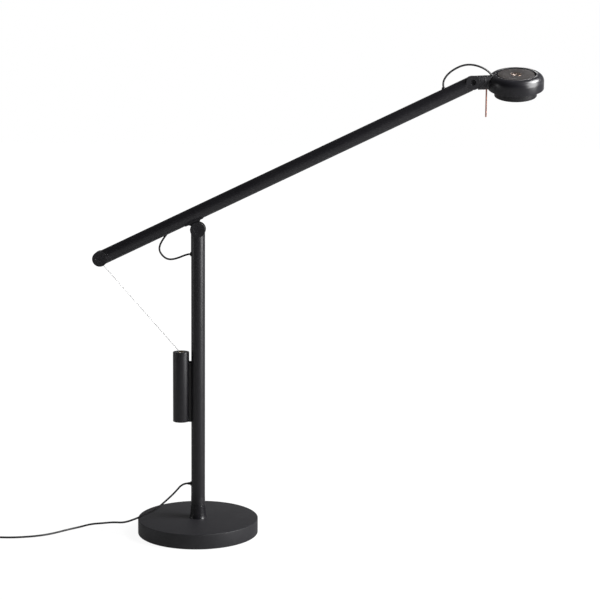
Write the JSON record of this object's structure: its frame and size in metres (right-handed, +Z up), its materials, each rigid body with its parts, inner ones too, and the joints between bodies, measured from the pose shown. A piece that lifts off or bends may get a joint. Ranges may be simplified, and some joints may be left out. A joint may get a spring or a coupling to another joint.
{
  "type": "counterweight desk lamp",
  "caption": "Desk lamp with a round base, a slotted post, a long tilting tube arm, a sliding cylinder counterweight on a wire, and a small round dimmable head.",
  "frame": {"origin": "centre of the round base's underside, on the table", "axes": "+Z up along the post, +X towards the lamp's head, +Y to the lamp's far side"},
  "size_m": [0.9088, 0.19, 0.7408],
  "materials": {
    "base_black": "satin black paint",
    "tube_black": "satin black anodised",
    "joint_black": "satin black anodised",
    "foot_black": "polished black",
    "weight_black": "satin black paint",
    "head_black": "satin black paint",
    "dial_grey": "satin dark grey",
    "button_dark": "polished, dished",
    "bolt_dark": "black oxide",
    "steel": "turned",
    "iron": "rough cast",
    "pad_rubber": "ribbed mat",
    "lead_rubber": "smooth matt",
    "guide_plastic": "moulded",
    "bush_plastic": "natural nylon",
    "brass": "turned",
    "copper": "copper plated wire",
    "diffuser_white": "frosted",
    "reflector_white": "white paint",
    "board_white": "white solder mask",
    "chip_yellow": "phosphor",
    "sink_aluminium": "bare",
    "plug_black": "fine grain",
    "pin_metal": "nickel plated"
  },
  "bodies": {
    "base": {"base_cover": "base_black", "base_ballast": "iron", "base_pad": "pad_rubber", "spigot": "steel", "base_nut": "steel", "foot_collar": "foot_black", "spigot_screw": "steel", "lead_drop": "lead_rubber", "lead_floor": "lead_rubber", "lead_coil": "lead_rubber", "lead_tail": "lead_rubber", "plug_body": "plug_black", "plug_pins": "pin_metal"},
    "post": {"post_tube": "tube_black", "post_bush": "bush_plastic", "post_sleeve": "joint_black", "post_cap": "joint_black", "post_screws": "bolt_dark", "post_grommets": "lead_rubber", "post_lead": "lead_rubber", "pivot_bolt": "bolt_dark", "arm_loop": "lead_rubber"},
    "weight": {"counterweight": "weight_black", "runner": "guide_plastic", "runner_screws": "steel", "wire_socket": "brass"},
    "wire": {"wire": "steel"},
    "arm": {"arm_tube": "tube_black", "arm_bracket": "joint_black", "bracket_screws": "steel", "pivot_bushes": "bush_plastic", "tail_fitting": "joint_black", "tail_bolt": "bolt_dark", "front_fork": "joint_black", "arm_grommet": "lead_rubber", "arm_lead": "lead_rubber", "hinge_bolt": "bolt_dark", "head_loop_rear": "lead_rubber"},
    "neck": {"neck": "joint_black", "hinge_bushes": "bush_plastic", "swivel_ring": "joint_black", "neck_screw": "bolt_dark", "head_loop_front": "lead_rubber"},
    "head": {"head_stub": "joint_black", "head_screws": "bolt_dark", "head_housing": "head_black", "bottom_plate": "head_black", "head_grommet": "lead_rubber", "head_lead": "lead_rubber", "led_driver": "plug_black", "dimmer_control": "plug_black", "lens_ring": "plug_black", "diffuser": "diffuser_white", "reflector": "reflector_white", "led_board": "board_white", "led_chips": "chip_yellow", "heat_sink": "sink_aluminium", "handle_rod": "copper"},
    "dial": {"dimmer_dial": "dial_grey"},
    "button": {"dimmer_button": "button_dark"}
  },
  "joints": [
    {"name": "post_swivel", "type": "hinge", "parent": "base", "child": "post", "pos_m": [0, 0, 0.045], "axis": [0, 0, 1], "range_deg": [-90, 90], "deforming": ["lead_drop"]},
    {"name": "arm_tilt", "type": "hinge", "parent": "post", "child": "arm", "pos_m": [0, 0, 0.4835], "axis": [0, -1, 0], "range_deg": [-25, 15], "deforming": ["arm_loop"]},
    {"name": "weight_slide", "type": "slide", "parent": "post", "child": "weight", "axis": [0, 0, 1], "range_m": [-0.0475, 0.0795]},
    {"name": "wire_swing", "type": "hinge", "parent": "weight", "child": "wire", "pos_m": [-0.0266, 0, 0.2885], "axis": [0, -1, 0], "range_deg": [-3.6, 5.9]},
    {"name": "head_tilt", "type": "hinge", "parent": "arm", "child": "neck", "pos_m": [0.41884, 0, 0.71195], "axis": [0, -1, 0], "range_deg": [-20, 42], "deforming": ["head_loop_rear"]},
    {"name": "head_roll", "type": "hinge", "parent": "neck", "child": "head", "pos_m": [0.43583, 0, 0.71272], "axis": [0.999, 0, 0.0454], "range_deg": [-78, 42], "deforming": ["head_loop_front"]},
    {"name": "dimmer_turn", "type": "hinge", "parent": "head", "child": "dial", "pos_m": [0.48459, -0.00281, 0.72349], "axis": [-0.0431, -0.3123, 0.949], "range_deg": [-135, 135]},
    {"name": "button_press", "type": "slide", "parent": "dial", "child": "button", "axis": [0.0431, 0.3123, -0.949], "range_m": [0, 0.001], "stiffness_N_per_m": 900, "springref_m": -0.0006}
  ],
  "couplings": [
    {"joint": "weight_slide", "follows": "arm_tilt", "m_per_rad": -0.1812},
    {"joint": "wire_swing", "follows": "arm_tilt", "ratio": -0.2298}
  ]
}
